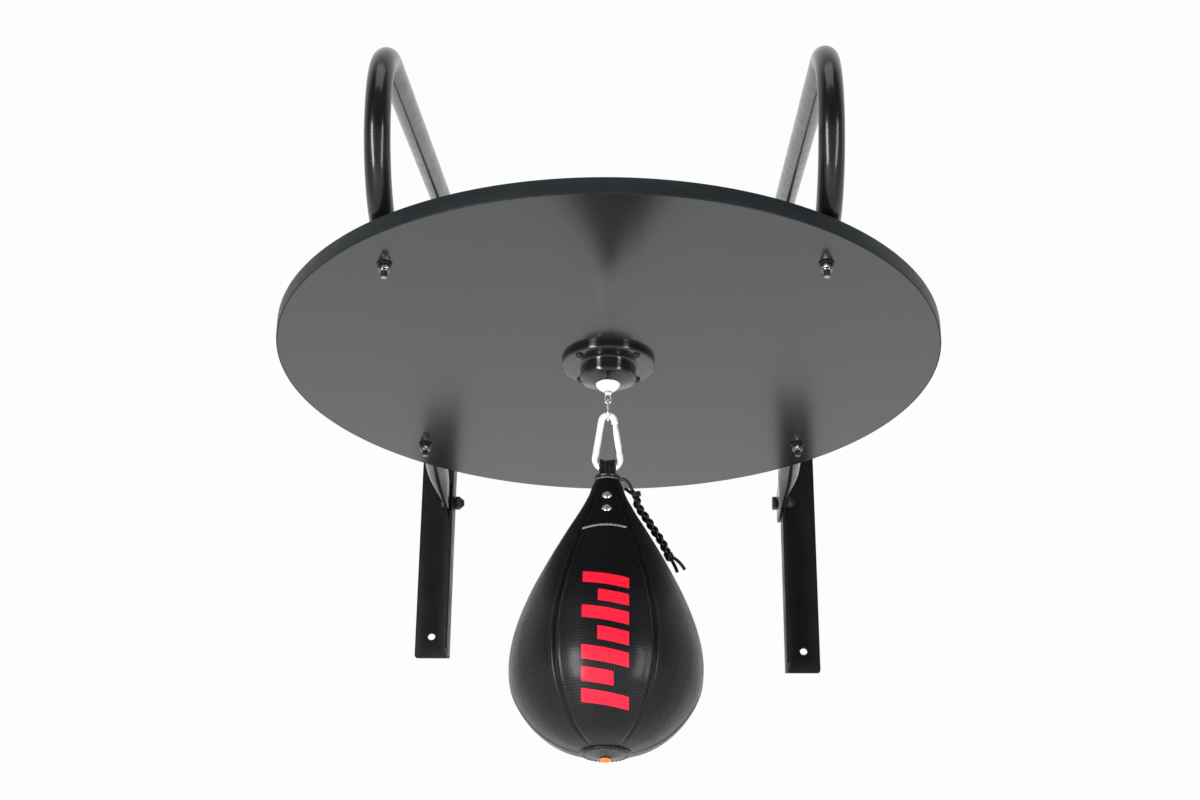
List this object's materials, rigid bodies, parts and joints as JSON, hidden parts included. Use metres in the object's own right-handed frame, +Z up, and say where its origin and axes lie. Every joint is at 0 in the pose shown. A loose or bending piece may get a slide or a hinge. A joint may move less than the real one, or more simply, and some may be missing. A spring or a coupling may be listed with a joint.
{
  "type": "speed bag platform",
  "caption": "Round board hung from a wall by bent tube arms and angle brackets, with a ball swivel and a striking bag.",
  "frame": {"origin": "on the wall's face, midway between the two arms, level with the underside of the board", "axes": "+X to the right seen from the front, +Y into the wall, +Z up"},
  "size_m": [0.61, 0.735, 0.7825],
  "materials": {
    "bracket_coat": "satin black powder coat",
    "tube_coat": "gloss black powder coat",
    "laminate": "charcoal laminate on fibreboard",
    "edge_band": "satin black edge band",
    "black_steel": "blackened steel",
    "swivel_paint": "gloss black",
    "nylon": "cream nylon",
    "nickel": "nickel plate",
    "zinc": "bright zinc plate",
    "lace_leather": "black leather lace",
    "black_rubber": "black rubber",
    "orange_rubber": "orange rubber",
    "bag_leather": "black embossed leather"
  },
  "bodies": {
    "frame": {"arm_tube_left": "tube_coat", "arm_tube_right": "tube_coat", "ball_seat": "nylon", "board": "laminate", "board_bolt_left_front": "black_steel", "board_bolt_left_rear": "black_steel", "board_bolt_right_front": "black_steel", "board_bolt_right_rear": "black_steel", "board_edge_band": "edge_band", "board_nut_left_front": "black_steel", "board_nut_left_rear": "black_steel", "board_nut_right_front": "black_steel", "board_nut_right_rear": "black_steel", "board_washer_left_front": "black_steel", "board_washer_left_rear": "black_steel", "board_washer_right_front": "black_steel", "board_washer_right_rear": "black_steel", "bracket_bolt_left_lower": "black_steel", "bracket_bolt_left_upper": "black_steel", "bracket_bolt_right_lower": "black_steel", "bracket_bolt_right_upper": "black_steel", "bracket_nut_left_lower": "black_steel", "bracket_nut_left_upper": "black_steel", "bracket_nut_right_lower": "black_steel", "bracket_nut_right_upper": "black_steel", "bracket_washer_left_lower": "black_steel", "bracket_washer_left_upper": "black_steel", "bracket_washer_right_lower": "black_steel", "bracket_washer_right_upper": "black_steel", "swivel_housing": "swivel_paint", "swivel_screw_1": "black_steel", "swivel_screw_2": "black_steel", "swivel_screw_3": "black_steel", "swivel_screw_4": "black_steel", "wall_bracket_left": "bracket_coat", "wall_bracket_right": "bracket_coat"},
    "ball": {"swivel_ball": "nylon"},
    "eye": {"swivel_eye": "nickel"},
    "link": {"link_ring": "nickel"},
    "hook": {"hook_body": "zinc", "hook_gate_pin": "zinc"},
    "gate": {"hook_gate": "zinc", "hook_gate_spring": "nickel"},
    "bag": {"bag_shell": "bag_leather", "bladder": "black_rubber", "bottom_patch": "bag_leather", "hanger_strap": "bag_leather", "lace_end_knot": "lace_leather", "lace_head_knot": "lace_leather", "lace_lead": "lace_leather", "lace_plait": "lace_leather", "lace_tail_lower": "lace_leather", "lace_tail_upper": "lace_leather", "neck_collar": "bag_leather", "rivet_front_lower": "nickel", "rivet_front_upper": "nickel", "rivet_rear_lower": "nickel", "rivet_rear_upper": "nickel", "valve": "orange_rubber"}
  },
  "joints": [
    {"name": "ball_tilt", "type": "hinge", "parent": "frame", "child": "ball", "pos_m": [0, -0.43, -0.0185], "axis": [1, 0, 0], "range_deg": [-45, 45]},
    {"name": "eye_spin", "type": "hinge", "parent": "ball", "child": "eye", "pos_m": [0, -0.43, -0.0185], "axis": [0, 0, 1], "continuous": true},
    {"name": "link_swing", "type": "hinge", "parent": "eye", "child": "link", "pos_m": [0, -0.43, -0.0423], "axis": [1, 0, 0], "range_deg": [-15, 15]},
    {"name": "hook_swing", "type": "hinge", "parent": "link", "child": "hook", "pos_m": [0, -0.43, -0.059], "axis": [0, 1, 0], "range_deg": [-20, 20]},
    {"name": "gate_open", "type": "hinge", "parent": "hook", "child": "gate", "pos_m": [0.00704, -0.43, -0.06737], "axis": [0, 1, 0], "range_deg": [0, 25], "stiffness_Nm_per_rad": 0.05},
    {"name": "bag_swing", "type": "hinge", "parent": "hook", "child": "bag", "pos_m": [0, -0.43, -0.1089], "axis": [1, 0, 0], "range_deg": [-20, 20]}
  ]
}
